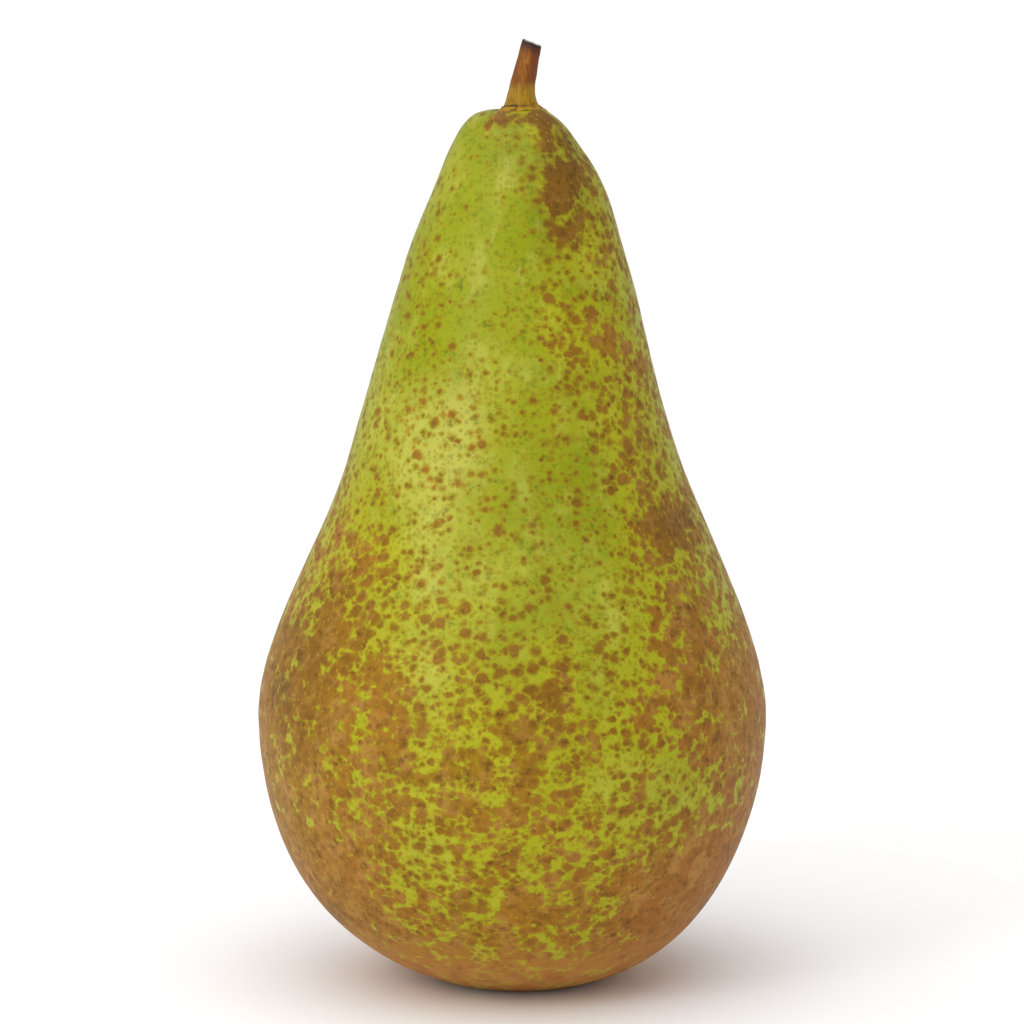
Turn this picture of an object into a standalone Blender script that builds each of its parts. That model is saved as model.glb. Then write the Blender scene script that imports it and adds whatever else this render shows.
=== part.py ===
"""A pear of the Conference kind, standing on the ring of skin round its blossom end.

The fruit is one solid, turned from a half outline and then moved a little out of true, as fruit grows. The
stalk is sunk into its top, and the dried calyx sits in the hollow underneath. Metres, +Z up, with the origin
under the middle of the fruit, on the surface that it stands on.
"""

import math
import random
from typing import NamedTuple

import bmesh
import bpy
from mathutils import Matrix, Vector
from mathutils.geometry import interpolate_bezier

MM = 0.001
GAP = 0.3 * MM  # clearance between neighbouring solids

# Driving dimensions of the fruit
FRUIT_HEIGHT = 106.3 * MM
BELLY_RADIUS = 31.0 * MM
BELLY_HEIGHT = 32.7 * MM
NECK_RADIUS = 20.1 * MM
NECK_HEIGHT = 63.9 * MM
SHOULDER_RADIUS = 8.15 * MM
SHOULDER_HEIGHT = 101.1 * MM
FOOT_RADIUS = 8.8 * MM
FRUIT_SIDES = 64

# Driving dimensions of the two hollows
BASIN_RADIUS = 6.0 * MM
BASIN_DEPTH = 4.0 * MM
BASIN_WALL_REACH = (-0.4 * MM, 2.2 * MM)  # from the rim, inwards and up: how the wall leaves the foot
BASIN_ROOF_REACH = 1.3 * MM
CALYX_SOCKET_RADIUS = 2.1 * MM
CALYX_SOCKET_DEPTH = 1.2 * MM
STALK_SOCKET_RADIUS = 2.6 * MM
STALK_SOCKET_FLOOR_RADIUS = 1.9 * MM
STALK_SOCKET_DEPTH = 2.6 * MM

# Driving dimensions of the stalk: places along it as (sideways, height above the fruit, radius)
STALK_STATIONS = (
    (0.90 * MM, -2.2 * MM, 1.45 * MM),
    (0.92 * MM, 0.0 * MM, 2.10 * MM),
    (0.96 * MM, 0.6 * MM, 2.05 * MM),
    (1.02 * MM, 1.6 * MM, 1.74 * MM),
    (1.18 * MM, 2.8 * MM, 1.55 * MM),
    (1.50 * MM, 4.3 * MM, 1.41 * MM),
    (2.08 * MM, 7.0 * MM, 1.30 * MM),
    (2.28 * MM, 8.0 * MM, 1.24 * MM),
)
STALK_LEAN_BACK = 0.5 * MM

# Driving dimensions of the calyx
CUP_BELOW = 0.8 * MM
CUP_TAPER = 0.8
SEPAL_COUNT = 5
SEPAL_LENGTH = 3.7 * MM
SEPAL_ROOT = 0.9 * MM
SEPAL_HALF_WIDTH = 1.25 * MM
SEPAL_TIP_HALF_WIDTH = 0.2 * MM
SEPAL_ROOT_SHARE = 0.75  # of the half width, at the root
SEPAL_BULGE = 0.6
SEPAL_TAPER = 0.8
SEPAL_CUPPING = 0.25
SEPAL_THICKNESS = 0.65 * MM
SEPAL_DROP = 0.6 * MM
SEPAL_CURL = 1.5 * MM
STAMEN_COUNT = 8
STAMEN_RADIUS = 0.32 * MM
STAMEN_LENGTH = 2.2 * MM
STAMEN_TAPER = 0.6
STAMEN_SPLAY = (4, 16)  # degrees
STAMEN_CIRCLE = 0.95 * MM
CALYX_SEED = 5

# How far the grown fruit's middle wanders sideways: (height, shift, reach up and down)
WANDER = (
    (FRUIT_HEIGHT, 0.85 * MM, 0.4 * MM),
    (97.0 * MM, 0.62 * MM, 5.2 * MM),
    (86.3 * MM, 0.47 * MM, 10.6 * MM),
    (56.9 * MM, 0.31 * MM, 10.7 * MM),
    (0.0 * MM, 0.90 * MM, 8.0 * MM),
)
LEAN_BACK = 0.7 * MM
# Lobes of the flesh: (number round the fruit, share of the radius, turn)
LOBES = (
    (2, 0.012, math.radians(45)),
    (3, 0.010, math.radians(30)),
)


class Station(NamedTuple):
    """A place on the half outline, with the curve's slope and how far it keeps to it."""

    radius: float
    height: float
    slope: float
    reach_up: float
    reach_down: float

    def knot(self):
        return Vector((self.radius, 0, self.height))

    def upwards(self):
        return Vector((-self.slope, 0, 1)).normalized()


# The skin from the stalk's socket down to the foot, with the steps that each stretch is drawn in
OUTLINE = (
    Station(STALK_SOCKET_RADIUS, FRUIT_HEIGHT, 4.45, 0, 3.0 * MM),
    Station(SHOULDER_RADIUS, SHOULDER_HEIGHT, 0.585, 3.0 * MM, 9.8 * MM),
    Station(NECK_RADIUS, NECK_HEIGHT, 0.316, 13.8 * MM, 8.2 * MM),
    Station(BELLY_RADIUS, BELLY_HEIGHT, 0, 8.8 * MM, 10.5 * MM),
    Station(FOOT_RADIUS, 0, -3.92, 18.4 * MM, 0),
)
OUTLINE_STEPS = (6, 12, 12, 16)
BASIN_STEPS = 6


def clear_scene():
    """Removes every object, so that the scene holds only the pear."""
    for obj in list(bpy.data.objects):
        bpy.data.objects.remove(obj, do_unlink=True)


def new_collection(name):
    """A collection of its own in the scene."""
    collection = bpy.data.collections.new(name)
    bpy.context.scene.collection.children.link(collection)
    return collection


def new_object(name, mesh, collection):
    """An object that shows this mesh, in this collection."""
    obj = bpy.data.objects.new(name, mesh)
    collection.objects.link(obj)
    return obj


def principled(name, colour, roughness):
    """A plain material of this colour and roughness."""
    material = bpy.data.materials.new(name)
    material.use_nodes = True
    shader = material.node_tree.nodes["Principled BSDF"]
    shader.inputs["Base Color"].default_value = (*colour, 1)
    shader.inputs["Roughness"].default_value = roughness
    shader.inputs["Metallic"].default_value = 0
    material.diffuse_color = (*colour, 1)
    return material


def skin_material():
    return principled("russeted_skin", (0.42, 0.33, 0.07), 0.45)


def stalk_material():
    return principled("stalk_wood", (0.22, 0.12, 0.03), 0.6)


def calyx_material():
    return principled("dried_calyx", (0.07, 0.04, 0.02), 0.8)


def baked(obj):
    """Replaces an object by the mesh that its modifiers or its curve make, in world space, caps welded."""
    graph = bpy.context.evaluated_depsgraph_get()
    graph.update()
    mesh = bpy.data.meshes.new_from_object(obj.evaluated_get(graph))
    mesh.transform(obj.matrix_world)
    shape = bmesh.new()
    shape.from_mesh(mesh)
    bmesh.ops.remove_doubles(shape, verts=shape.verts, dist=0.01 * MM)
    bmesh.ops.recalc_face_normals(shape, faces=shape.faces)
    shape.to_mesh(mesh)
    shape.free()
    bpy.data.objects.remove(obj, do_unlink=True)
    return mesh


def finish(mesh, name, material, sharp_angle):
    """Names a mesh, shades it smooth up to an angle and gives it its material."""
    mesh.name = name
    mesh.materials.clear()
    mesh.materials.append(material)
    mesh.shade_smooth()
    mesh.set_sharp_from_angle(angle=math.radians(sharp_angle))
    return mesh


def skin_points():
    """The outer half outline, from the rim of the stalk's socket down to the foot."""
    points = [OUTLINE[0].knot()]
    for upper, lower, steps in zip(OUTLINE, OUTLINE[1:], OUTLINE_STEPS):
        leaving = upper.knot() - upper.upwards() * upper.reach_down
        arriving = lower.knot() + lower.upwards() * lower.reach_up
        points += interpolate_bezier(upper.knot(), leaving, arriving, lower.knot(), steps + 1)[1:]
    return points


def basin_points():
    """The half outline of the hollow at the blossom end, from the flat foot up to the calyx's socket."""
    rim = Vector((BASIN_RADIUS, 0, 0))
    floor = Vector((CALYX_SOCKET_RADIUS, 0, BASIN_DEPTH))
    inwards, up = BASIN_WALL_REACH
    leaving = rim + Vector((inwards, 0, up))
    arriving = floor + Vector((BASIN_ROOF_REACH, 0, 0))
    return interpolate_bezier(rim, leaving, arriving, floor, BASIN_STEPS + 1)


def fruit_profile():
    """The whole half outline, from the floor of the stalk's socket to the roof of the calyx's."""
    socket_floor = FRUIT_HEIGHT - STALK_SOCKET_DEPTH
    calyx_roof = BASIN_DEPTH + CALYX_SOCKET_DEPTH
    stalk_socket = [Vector((0, 0, socket_floor)), Vector((STALK_SOCKET_FLOOR_RADIUS, 0, socket_floor))]
    calyx_socket = [Vector((CALYX_SOCKET_RADIUS, 0, calyx_roof)), Vector((0, 0, calyx_roof))]
    return stalk_socket + skin_points() + basin_points() + calyx_socket


def turned(profile, sides):
    """The mesh that a half outline sweeps round the vertical axis."""
    mesh = bpy.data.meshes.new("profile")
    mesh.from_pydata(profile, [(i, i + 1) for i in range(len(profile) - 1)], [])
    obj = new_object("profile", mesh, bpy.context.scene.collection)
    screw = obj.modifiers.new("turn", "SCREW")
    screw.steps = screw.render_steps = sides
    screw.use_merge_vertices = True
    screw.merge_threshold = 0.001 * MM
    return baked(obj)


def wander_at(height):
    """How far the fruit's middle lies to the side at a height."""
    return sum(shift * math.exp(-(((height - at) / reach) ** 2)) for at, shift, reach in WANDER)


def moves_with(radius, height):
    """The height whose shift a point takes: its own on the skin, and its rim's inside a hollow."""
    if radius <= STALK_SOCKET_RADIUS and height > SHOULDER_HEIGHT:
        return FRUIT_HEIGHT
    if radius <= BASIN_RADIUS and height < BELLY_HEIGHT:
        return 0.0
    return height


def grown(point):
    """Where a point of the turned shape lies on the grown fruit. Every point keeps its height."""
    height = moves_with(math.hypot(point.x, point.y), point.z)
    share = min(max(height / FRUIT_HEIGHT, 0), 1)
    fullness = math.sin(math.pi * share)
    angle = math.atan2(point.y, point.x)
    swell = 1 + fullness * sum(rise * math.cos(count * (angle - turn)) for count, rise, turn in LOBES)
    lean = LEAN_BACK * math.sin(0.5 * math.pi * share) ** 2
    return Vector((point.x * swell + wander_at(height), point.y * swell + lean, point.z))


def make_fruit(collection):
    """The fruit: flesh and skin in one solid, with a socket on top and the blossom-end hollow below."""
    mesh = turned(fruit_profile(), FRUIT_SIDES)
    for vertex in mesh.vertices:
        vertex.co = grown(vertex.co)
    return new_object("fruit", finish(mesh, "fruit", skin_material(), 35), collection)


def make_stalk(collection):
    """The stalk: flared where it enters the fruit, leaning to the right, cut square across its end."""
    curve = bpy.data.curves.new("stalk_path", "CURVE")
    curve.dimensions = "3D"
    curve.bevel_depth = 1.0
    curve.bevel_resolution = 3
    curve.resolution_u = 3
    curve.use_fill_caps = True
    spline = curve.splines.new("BEZIER")
    spline.bezier_points.add(len(STALK_STATIONS) - 1)
    top = STALK_STATIONS[-1][1]
    for point, (sideways, above, radius) in zip(spline.bezier_points, STALK_STATIONS):
        back = LEAN_BACK + STALK_LEAN_BACK * (max(above, 0) / top) ** 2
        point.co = (sideways, back, FRUIT_HEIGHT + above)
        point.handle_left_type = point.handle_right_type = "AUTO"
        point.radius = radius
    path = new_object("stalk_path", curve, bpy.context.scene.collection)
    return new_object("stem", finish(baked(path), "stem", stalk_material(), 40), collection)


def sepal_point(along, across, length, curl):
    """A point of a sepal that spreads along +X: along runs 0 to 1 from root to tip, across -1 to 1."""
    fullness = (1 - along) ** SEPAL_TAPER * (SEPAL_ROOT_SHARE + SEPAL_BULGE * along)
    half_width = SEPAL_TIP_HALF_WIDTH + SEPAL_HALF_WIDTH * fullness
    cupped = SEPAL_CUPPING * half_width * across**2
    height = BASIN_DEPTH - GAP - 0.5 * SEPAL_THICKNESS - SEPAL_DROP * along - curl * along**2
    return Vector((SEPAL_ROOT + length * along, half_width * across, height - cupped))


def sepal_mesh(length, curl, turn):
    """One dried sepal: a pointed blade with thickness, curled down at its tip and turned to its place."""
    shape = bmesh.new()
    bmesh.ops.create_grid(shape, x_segments=6, y_segments=2, size=1)
    for vertex in shape.verts:
        along, across = (vertex.co.x + 1) / 2, vertex.co.y
        vertex.co = sepal_point(along, across, length, curl)
    bmesh.ops.triangulate(shape, faces=shape.faces)
    bmesh.ops.solidify(shape, geom=shape.faces, thickness=SEPAL_THICKNESS)
    bmesh.ops.recalc_face_normals(shape, faces=shape.faces)
    bmesh.ops.rotate(shape, verts=shape.verts, matrix=Matrix.Rotation(turn, 3, "Z"))
    mesh = bpy.data.meshes.new("sepal")
    shape.to_mesh(mesh)
    shape.free()
    return mesh


def peg_mesh(name, foot_radius, tip_radius, length, sides):
    """A round peg that hangs down from its origin, narrowing to its tip."""
    shape = bmesh.new()
    bmesh.ops.create_cone(
        shape, cap_ends=True, segments=sides, radius1=tip_radius, radius2=foot_radius, depth=length,
        matrix=Matrix.Translation((0, 0, -length / 2)),
    )
    mesh = bpy.data.meshes.new(name)
    shape.to_mesh(mesh)
    shape.free()
    return mesh


def calyx_pieces(collection):
    """The sepals and stamens, each its own object, to be joined to the calyx's cup."""
    draw = random.Random(CALYX_SEED)
    for index in range(SEPAL_COUNT):
        turn = math.tau * (index + draw.uniform(-0.1, 0.1)) / SEPAL_COUNT
        length = SEPAL_LENGTH * draw.uniform(0.88, 1.08)
        curl = SEPAL_CURL * draw.uniform(0.8, 1.15)
        new_object(f"sepal_{index}", sepal_mesh(length, curl, turn), collection)
    for index in range(STAMEN_COUNT):
        turn = math.tau * (index + 0.5 + draw.uniform(-0.15, 0.15)) / STAMEN_COUNT
        splay = draw.uniform(*STAMEN_SPLAY)
        mesh = peg_mesh("stamen", STAMEN_RADIUS, STAMEN_TAPER * STAMEN_RADIUS, STAMEN_LENGTH, 6)
        place = Matrix.Rotation(turn, 4, "Z") @ Matrix.Translation((STAMEN_CIRCLE, 0, BASIN_DEPTH - GAP))
        mesh.transform(place @ Matrix.Rotation(math.radians(-splay), 4, "Y"))
        new_object(f"stamen_{index}", mesh, collection)


def make_calyx(collection):
    """The calyx: a short cup in its socket, with the sepals and stamens grown from it as one piece."""
    roof = BASIN_DEPTH + CALYX_SOCKET_DEPTH - GAP
    radius = CALYX_SOCKET_RADIUS - GAP
    cup_mesh = peg_mesh("cup", radius, CUP_TAPER * radius, CALYX_SOCKET_DEPTH + CUP_BELOW, 24)
    cup_mesh.transform(Matrix.Translation((0, 0, roof)))
    cup = new_object("cup", cup_mesh, bpy.context.scene.collection)
    pieces = new_collection("calyx_pieces")
    calyx_pieces(pieces)
    union = cup.modifiers.new("join", "BOOLEAN")
    union.operand_type = "COLLECTION"
    union.operation = "UNION"
    union.collection = pieces
    mesh = baked(cup)
    for piece in list(pieces.objects):
        bpy.data.objects.remove(piece, do_unlink=True)
    bpy.data.collections.remove(pieces)
    mesh.transform(Matrix.Translation((wander_at(0), 0, 0)))
    return new_object("calyx", finish(mesh, "calyx", calyx_material(), 40), collection)


def main():
    clear_scene()
    pear = new_collection("pear")
    make_fruit(pear)
    make_stalk(pear)
    make_calyx(pear)


main()
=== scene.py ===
"""The looks of a russeted pear, dressed round its solids.

The fruit, the stalk and the calyx each take the place of their plain solid with a finer mesh and a procedural
finish. Sizes in the classes are millimetres, which MM turns into metres on the way into a mesh. +Z is up, the
photographed side faces -Y, and +X is to the right in the picture.
"""

import logging
import math
import random
from dataclasses import dataclass
from enum import Enum
from typing import NamedTuple, Union

import bmesh
import bpy
import numpy as np
from mathutils import Matrix, Vector, noise
from mathutils.geometry import interpolate_bezier

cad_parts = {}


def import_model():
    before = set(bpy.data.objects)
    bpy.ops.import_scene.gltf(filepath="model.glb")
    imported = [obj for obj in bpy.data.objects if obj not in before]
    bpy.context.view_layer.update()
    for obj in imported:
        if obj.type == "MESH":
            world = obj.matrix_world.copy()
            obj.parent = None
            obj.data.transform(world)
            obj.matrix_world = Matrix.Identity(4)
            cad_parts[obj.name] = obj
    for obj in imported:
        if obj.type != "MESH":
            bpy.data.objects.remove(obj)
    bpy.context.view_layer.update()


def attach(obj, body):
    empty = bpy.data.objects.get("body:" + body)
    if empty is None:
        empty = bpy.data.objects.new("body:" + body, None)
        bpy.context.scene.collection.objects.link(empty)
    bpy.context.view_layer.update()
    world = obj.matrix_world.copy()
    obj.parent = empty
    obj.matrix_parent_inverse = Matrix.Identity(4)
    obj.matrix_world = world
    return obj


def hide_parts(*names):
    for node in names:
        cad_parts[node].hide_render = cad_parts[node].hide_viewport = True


MM = 0.001
NOWHERE = 1e-3  # a length too short to matter, in millimetres, which keeps a division from failing
BODY = "root"
LOG = logging.getLogger("pear")

Feed = Union[float, tuple, bpy.types.NodeSocket]
Colour = tuple[int, int, int]
Paint = Union[Colour, bpy.types.NodeSocket]


class Slot(Enum):
    """The record's material slots."""

    SKIN = "skin"
    STALK = "stalk"
    CALYX = "calyx"


class Station(NamedTuple):
    """A place on a half outline, in millimetres, with its slope and how far the curve keeps to it."""

    radius: float
    height: float
    slope: float
    reach_up: float
    reach_down: float

    def knot(self) -> Vector:
        """Where the station is, on the +X side."""
        return Vector((self.radius, 0.0, self.height))

    def upwards(self) -> Vector:
        """The direction in which the outline climbs through the station."""
        return Vector((-self.slope, 0.0, 1.0)).normalized()


class Waves(NamedTuple):
    """A smooth noise: its waves in a millimetre, how many finer layers it has and how strong they are."""

    per_mm: float
    detail: float = 2.0
    roughness: float = 0.5


class Step(NamedTuple):
    """A share that grows from 0, where a value passes low, to its full size at high. Low may be above high."""

    low: float
    high: float
    full: float = 1.0


class Wiring:
    """Makes and joins the nodes of one material."""

    def __init__(self, name: str) -> None:
        """Starts a material that holds only its Principled shader and its output.

        Args:
            name: The material's name.
        """
        self.material = bpy.data.materials.new(name)
        self.material.use_nodes = True
        self.tree = self.material.node_tree
        self.shader = self.tree.nodes["Principled BSDF"]

    def feed(self, socket: bpy.types.NodeSocket, value: Feed) -> None:
        """Links a socket to another, or sets its value.

        Args:
            socket: The input to feed.
            value: An output socket, a number or a tuple of numbers.
        """
        if isinstance(value, bpy.types.NodeSocket):
            self.tree.links.new(value, socket)
        else:
            socket.default_value = value

    def node(self, kind: str, **settings: object) -> bpy.types.Node:
        """Adds a node and sets its properties.

        Args:
            kind: The node's type name in Blender, without its ShaderNode prefix.
            **settings: Properties of the node.

        Returns:
            The new node.
        """
        made = self.tree.nodes.new("ShaderNode" + kind)
        for name, value in settings.items():
            setattr(made, name, value)
        return made

    def place(self) -> bpy.types.NodeSocket:
        """The point on the piece, in millimetres."""
        scaled = self.node("VectorMath", operation="SCALE")
        self.feed(scaled.inputs[0], self.node("TexCoord").outputs["Object"])
        self.feed(scaled.inputs["Scale"], 1 / MM)
        return scaled.outputs[0]

    def mapped(self, vector: Feed, turn: tuple = (0, 0, 0), scale: tuple = (1, 1, 1)) -> bpy.types.NodeSocket:
        """Turns and stretches coordinates.

        Args:
            vector: The coordinates.
            turn: The turn about each axis, in degrees.
            scale: The factor along each axis.

        Returns:
            The new coordinates.
        """
        mapping = self.node("Mapping")
        self.feed(mapping.inputs["Vector"], vector)
        mapping.inputs["Rotation"].default_value = [math.radians(a) for a in turn]
        mapping.inputs["Scale"].default_value = scale
        return mapping.outputs[0]

    def attribute(self, name: str) -> bpy.types.NodeSocket:
        """The value that the piece's vertices hold under a name."""
        return self.node("Attribute", attribute_name=name).outputs["Fac"]

    def calc(self, operation: str, a: Feed, b: Feed = 0.0, c: Feed = 0.0) -> bpy.types.NodeSocket:
        """One sum on numbers.

        Args:
            operation: The Math node's operation.
            a: The first number.
            b: The second number, where the operation has one.
            c: The third number, where the operation has one.

        Returns:
            The result.
        """
        sum_node = self.node("Math", operation=operation)
        for socket, value in zip(sum_node.inputs, (a, b, c)):
            self.feed(socket, value)
        return sum_node.outputs[0]

    def times(self, a: Feed, b: Feed) -> bpy.types.NodeSocket:
        """One number times another."""
        return self.calc("MULTIPLY", a, b)

    def scaled(self, value: Feed, by: Feed, plus: Feed) -> bpy.types.NodeSocket:
        """A number times another, plus a third."""
        return self.calc("MULTIPLY_ADD", value, by, plus)

    def noise_node(self, vector: Feed, waves: Waves) -> bpy.types.Node:
        """Makes a smooth noise.

        Args:
            vector: The coordinates, in millimetres.
            waves: The noise's waves.

        Returns:
            The noise's node.
        """
        texture = self.node("TexNoise", noise_dimensions="3D")
        self.feed(texture.inputs["Vector"], vector)
        for name, value in zip(("Scale", "Detail", "Roughness"), waves):
            texture.inputs[name].default_value = value
        return texture

    def noise(self, vector: Feed, waves: Waves) -> bpy.types.NodeSocket:
        """Smooth noise about 0, mostly between -0.5 and 0.5, on coordinates in millimetres."""
        return self.calc("SUBTRACT", self.noise_node(vector, waves).outputs["Fac"], 0.5)

    def bent(self, vector: Feed, waves: Waves, by: float) -> bpy.types.NodeSocket:
        """Coordinates pushed about by noise, so that what is drawn on them loses its regular form.

        Args:
            vector: The coordinates, in millimetres.
            waves: The noise that bends them.
            by: How far it pushes, in millimetres.

        Returns:
            The bent coordinates.
        """
        push = self.node("VectorMath", operation="MULTIPLY_ADD")
        self.feed(push.inputs[0], self.noise_node(vector, waves).outputs["Color"])
        push.inputs[1].default_value = (2 * by, 2 * by, 2 * by)
        push.inputs[2].default_value = (-by, -by, -by)
        total = self.node("VectorMath", operation="ADD")
        self.feed(total.inputs[0], vector)
        self.feed(total.inputs[1], push.outputs[0])
        return total.outputs[0]

    def cells(self, vector: Feed, cell: float) -> tuple[bpy.types.NodeSocket, bpy.types.NodeSocket]:
        """Points strewn at random.

        Args:
            vector: The coordinates, in millimetres.
            cell: The usual distance between points, in millimetres.

        Returns:
            The distance to the nearest point, in millimetres, and that point's own random draw from 0 to 1.
        """
        texture = self.node("TexVoronoi", voronoi_dimensions="3D", feature="F1")
        self.feed(texture.inputs["Vector"], vector)
        texture.inputs["Scale"].default_value = 1 / cell
        draw = self.node("SeparateColor")
        self.feed(draw.inputs[0], texture.outputs["Color"])
        return self.times(texture.outputs["Distance"], cell), draw.outputs[0]

    def rise(self, value: Feed, low: Feed, high: Feed) -> bpy.types.NodeSocket:
        """A smooth step from 0 at low to 1 at high.

        Args:
            value: The number that climbs.
            low: Where the step begins.
            high: Where the step ends.

        Returns:
            The height of the step.
        """
        step = self.node("MapRange", interpolation_type="SMOOTHSTEP")
        for name, number in (("Value", value), ("From Min", low), ("From Max", high)):
            self.feed(step.inputs[name], number)
        return step.outputs[0]

    def share(self, value: Feed, step: Step) -> bpy.types.NodeSocket:
        """The share to which a step has grown where a value stands."""
        grown = self.rise(value, step.low, step.high)
        return grown if step.full == 1.0 else self.times(grown, step.full)

    def mix(self, share: Feed, a: Paint, b: Paint) -> bpy.types.NodeSocket:
        """A colour between two others.

        Args:
            share: 0 for the first colour, 1 for the second.
            a: The first colour.
            b: The second colour.

        Returns:
            The mixed colour.
        """
        blend = self.node("Mix", data_type="RGBA")
        self.feed(blend.inputs[0], share)
        for socket, paint in ((blend.inputs[6], a), (blend.inputs[7], b)):
            self.feed(socket, shade(paint) if isinstance(paint, tuple) else paint)
        return blend.outputs[2]

    def dress(self, colour: Feed, roughness: Feed) -> None:
        """Gives the shader its colour and its roughness."""
        self.feed(self.shader.inputs["Base Color"], colour)
        self.feed(self.shader.inputs["Roughness"], roughness)

    def relief(self, height: Feed, depth: float) -> None:
        """Roughens the shaded surface.

        Args:
            height: The height of the relief.
            depth: What a height of 1 measures, in millimetres.
        """
        bump = self.node("Bump")
        bump.inputs["Strength"].default_value = 1.0
        bump.inputs["Distance"].default_value = depth * MM
        self.feed(bump.inputs["Height"], height)
        self.feed(self.shader.inputs["Normal"], bump.outputs[0])


def shade(colour: Colour) -> tuple[float, float, float, float]:
    """A colour as the shaders want it.

    Args:
        colour: Red, green and blue as a screen shows them, 0 to 255.

    Returns:
        The linear colour, with full alpha.
    """
    parts = (c / 255 for c in colour)
    linear = [p / 12.92 if p <= 0.04045 else ((p + 0.055) / 1.055) ** 2.4 for p in parts]
    return (*linear, 1.0)


def shown(name: str, mesh: bpy.types.Mesh, materials: list[bpy.types.Material]) -> bpy.types.Object:
    """Puts a mesh in the scene as a piece at the origin, shaded smooth.

    Args:
        name: The piece's name.
        mesh: Its mesh, in metres.
        materials: Its materials, in the order of the faces' material numbers.

    Returns:
        The piece.
    """
    mesh.name = name
    mesh.materials.clear()
    for material in materials:
        mesh.materials.append(material)
    mesh.shade_smooth()
    piece = bpy.data.objects.new(name, mesh)
    bpy.context.scene.collection.objects.link(piece)
    return piece


def seated(piece: bpy.types.Object, node: str) -> None:
    """Makes a piece ride on the pear in the place of a solid.

    Args:
        piece: The finished piece.
        node: The solid that it replaces.
    """
    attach(piece, BODY)
    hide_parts(node)
    LOG.info("%s: %d faces in place of %s", piece.name, len(piece.data.polygons), node)


def meshed(shape: bmesh.types.BMesh, name: str) -> bpy.types.Mesh:
    """Turns a finished bmesh into a mesh and frees it.

    Args:
        shape: The bmesh.
        name: The mesh's name.

    Returns:
        The mesh.
    """
    mesh = bpy.data.meshes.new(name)
    shape.to_mesh(mesh)
    shape.free()
    return mesh


def turned(outline: list[Vector], sides: int, name: str) -> bpy.types.Mesh:
    """Spins a half outline into a closed turned shape.

    Args:
        outline: Points from one pole to the other, at +X, in millimetres.
        sides: How many steps the full turn has.
        name: The mesh's name.

    Returns:
        The mesh, in millimetres, facing out.
    """
    shape = bmesh.new()
    knots = [shape.verts.new(point) for point in outline]
    edges = [shape.edges.new(pair) for pair in zip(knots, knots[1:])]
    bmesh.ops.spin(
        shape, geom=knots + edges, cent=(0, 0, 0), axis=(0, 0, 1), angle=math.tau, steps=sides, use_merge=True
    )
    bmesh.ops.remove_doubles(shape, verts=shape.verts, dist=1e-4)
    bmesh.ops.recalc_face_normals(shape, faces=shape.faces)
    return meshed(shape, name)


def read_points(mesh: bpy.types.Mesh) -> np.ndarray:
    """The mesh's vertices, a row each."""
    flat = np.empty(len(mesh.vertices) * 3)
    mesh.vertices.foreach_get("co", flat)
    return flat.reshape(-1, 3)


def write_points(mesh: bpy.types.Mesh, points: np.ndarray) -> None:
    """Moves the mesh's vertices to these points."""
    mesh.vertices.foreach_set("co", points.ravel())
    mesh.update()


def write_values(mesh: bpy.types.Mesh, name: str, values: np.ndarray) -> None:
    """Stores a number on each vertex under a name."""
    mesh.attributes.new(name, "FLOAT", "POINT").data.foreach_set("value", values)


class Lumps(NamedTuple):
    """Smooth unevenness on a mesh: its waves in a millimetre, where in the noise it looks, and its size."""

    per_mm: float
    seed: float
    size: float = 1.0


def noise_at(points: np.ndarray, lumps: Lumps) -> np.ndarray:
    """Smooth noise at each point, from the lumps' size below 0 to their size above.

    Args:
        points: The points, in millimetres.
        lumps: What the noise is like.

    Returns:
        The noise at each point.
    """
    shift = Vector((lumps.seed, -lumps.seed, 0.5 * lumps.seed))
    return lumps.size * np.array([noise.noise(Vector(point) * lumps.per_mm + shift) for point in points])


def climb(values: np.ndarray, step: Step) -> np.ndarray:
    """The share to which a step has grown at each value.

    Args:
        values: The numbers that climb.
        step: Where the share begins and ends to grow.

    Returns:
        The share at each value.
    """
    share = np.clip((values - step.low) / (step.high - step.low), 0, 1)
    return step.full * share * share * (3 - 2 * share)


PATCH_FADE = Step(1.3, 0.5)  # in half widths from a patch's middle


@dataclass(frozen=True)
class Patch:
    """A stretch of the photographed side with more russet than its surroundings, or less.

    The place is read in the picture's own plane, in millimetres from its middle.
    """

    across: float
    up: float
    half_width: float
    half_height: float
    cover: float
    tilt: float = 0.0

    def strength(self, across: np.ndarray, up: np.ndarray) -> np.ndarray:
        """How strongly the patch tells at each place.

        Args:
            across: Places to the right of the picture's middle.
            up: Places above the picture's middle.

        Returns:
            The patch's share of russet there, fading to 0 outside it.
        """
        turn = math.radians(self.tilt)
        dx, dy = across - self.across, up - self.up
        along = (dx * math.cos(turn) + dy * math.sin(turn)) / self.half_width
        aside = (dy * math.cos(turn) - dx * math.sin(turn)) / self.half_height
        return self.cover * climb(np.hypot(along, aside), PATCH_FADE)


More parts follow.
